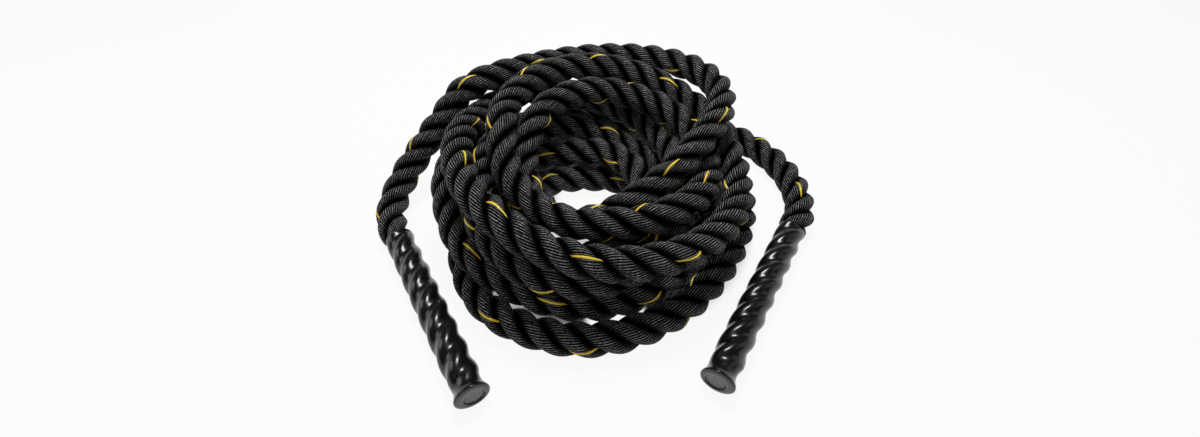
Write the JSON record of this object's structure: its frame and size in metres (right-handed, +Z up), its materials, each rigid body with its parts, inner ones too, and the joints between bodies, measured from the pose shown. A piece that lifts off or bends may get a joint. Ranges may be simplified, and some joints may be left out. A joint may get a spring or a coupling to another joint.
{
  "type": "battle rope",
  "caption": "Thick black three-strand rope lying in a loose coil, with a shrunk sleeve grip and a flanged plug on each end, for swinging in strength and fitness training.",
  "frame": {"origin": "middle of the whole lying object's box, on the floor it lies on", "axes": "+Z up from the floor, +Y away from the two grips towards the back of the coil, +X to the right as seen from the grips"},
  "size_m": [0.6145, 0.5498, 0.1551],
  "materials": {
    "rope_yarn": "dull black synthetic yarn",
    "sleeve_plastic": "glossy black heat-shrink tube",
    "cap_plastic": "matte dark grey"
  },
  "bodies": {
    "root": {"rope_coil": "rope_yarn", "rope_lead_left": "rope_yarn", "rope_lead_right": "rope_yarn", "left_strand_1": "rope_yarn", "left_strand_2": "rope_yarn", "left_strand_3": "rope_yarn", "right_strand_1": "rope_yarn", "right_strand_2": "rope_yarn", "right_strand_3": "rope_yarn", "left_grip_sleeve": "sleeve_plastic", "right_grip_sleeve": "sleeve_plastic", "left_end_cap": "cap_plastic", "right_end_cap": "cap_plastic"}
  },
  "joints": []
}
